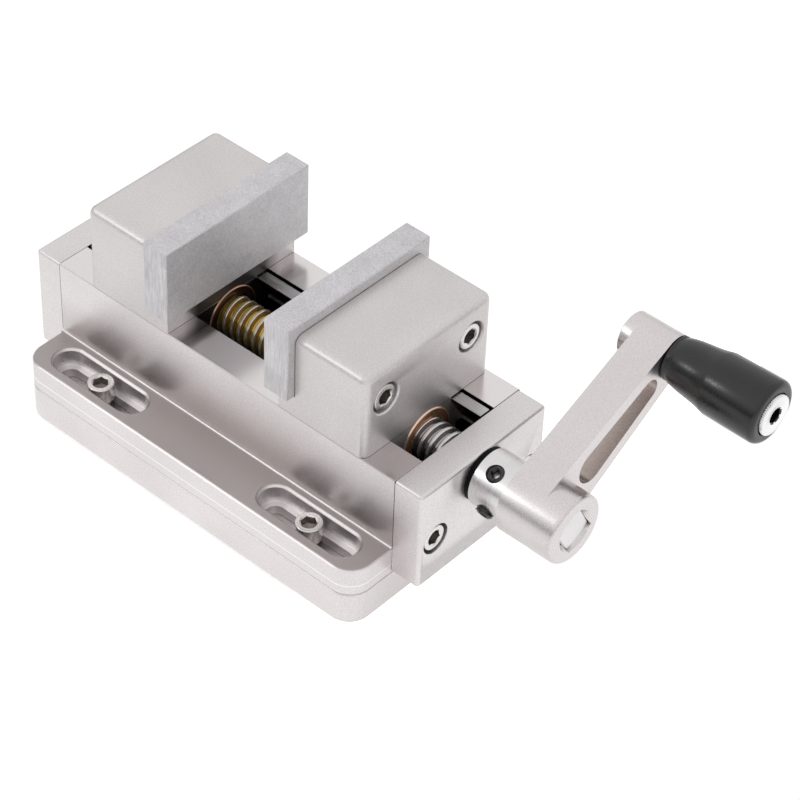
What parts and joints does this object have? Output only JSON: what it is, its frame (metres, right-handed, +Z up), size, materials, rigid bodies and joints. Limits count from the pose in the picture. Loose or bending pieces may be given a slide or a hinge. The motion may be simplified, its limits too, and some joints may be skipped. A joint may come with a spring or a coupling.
{
  "type": "self-centering vise",
  "caption": "Low machine vise whose two jaws close on a fixed middle when one hand crank turns a screw with left and right-hand threads; the body slides on a base plate.",
  "frame": {"origin": "centre of the base plate's bottom face", "axes": "+X along the lead screw towards the crank, +Y across the screw towards the side with the gib strip, +Z up, out of the rails"},
  "size_m": [0.3086, 0.1485, 0.1144],
  "materials": {
    "nickel_plate": "satin, fine blasted nickel plating",
    "jaw_steel": "fine ground",
    "gib_steel": "brushed along its length",
    "yellow_zinc": "bright yellow zinc plating",
    "screw_steel": "machined",
    "bronze": "turned bronze",
    "bright_steel": "bright turned",
    "fastener_steel": "satin stainless",
    "black_oxide": "black oxide",
    "black_bushing": "matt black",
    "crank_metal": "satin, fine blasted",
    "grip_black": "semi-gloss black"
  },
  "bodies": {
    "base": {"base_plate": "nickel_plate", "clamp_screws": "fastener_steel"},
    "frame": {"vise_body": "nickel_plate", "crank_end_cap": "nickel_plate", "far_end_cap": "nickel_plate", "crank_cap_screws": "fastener_steel", "far_cap_screws": "fastener_steel", "gib_strip": "gib_steel", "gib_screws": "black_oxide", "crank_bushing": "black_bushing", "far_bushing": "bronze"},
    "screw": {"near_lead_screw": "screw_steel", "far_lead_screw": "yellow_zinc", "coupling_pin": "screw_steel", "shaft_collar": "bright_steel", "collar_set_screws": "black_oxide", "crank_arm": "crank_metal", "handle_spindle": "bright_steel"},
    "grip": {"handle_grip": "grip_black"},
    "near_jaw": {"near_jaw": "nickel_plate", "near_jaw_plate": "jaw_steel", "near_jaw_screws": "fastener_steel", "near_nut": "bronze", "near_nut_screw": "black_oxide"},
    "far_jaw": {"far_jaw": "nickel_plate", "far_jaw_plate": "jaw_steel", "far_jaw_screws": "fastener_steel", "far_nut": "bronze", "far_nut_screw": "black_oxide"}
  },
  "joints": [
    {"name": "body_slide", "type": "slide", "parent": "base", "child": "frame", "axis": [1, 0, 0], "range_m": [-0.019, 0.019]},
    {"name": "crank_turn", "type": "hinge", "parent": "frame", "child": "screw", "pos_m": [0, 0, 0.0554], "axis": [1, 0, 0], "range_deg": [-2320, 1360]},
    {"name": "near_jaw_slide", "type": "slide", "parent": "frame", "child": "near_jaw", "axis": [1, 0, 0], "range_m": [-0.0274, 0.0161]},
    {"name": "far_jaw_slide", "type": "slide", "parent": "frame", "child": "far_jaw", "axis": [-1, 0, 0], "range_m": [-0.0274, 0.0161]},
    {"name": "grip_spin", "type": "hinge", "parent": "screw", "child": "grip", "pos_m": [0.172, 0.07233, 0.09402], "axis": [1, 0, 0], "continuous": true}
  ],
  "couplings": [
    {"joint": "near_jaw_slide", "follows": "crank_turn", "m_per_rad": 0.00067376},
    {"joint": "far_jaw_slide", "follows": "crank_turn", "m_per_rad": 0.00067376}
  ]
}
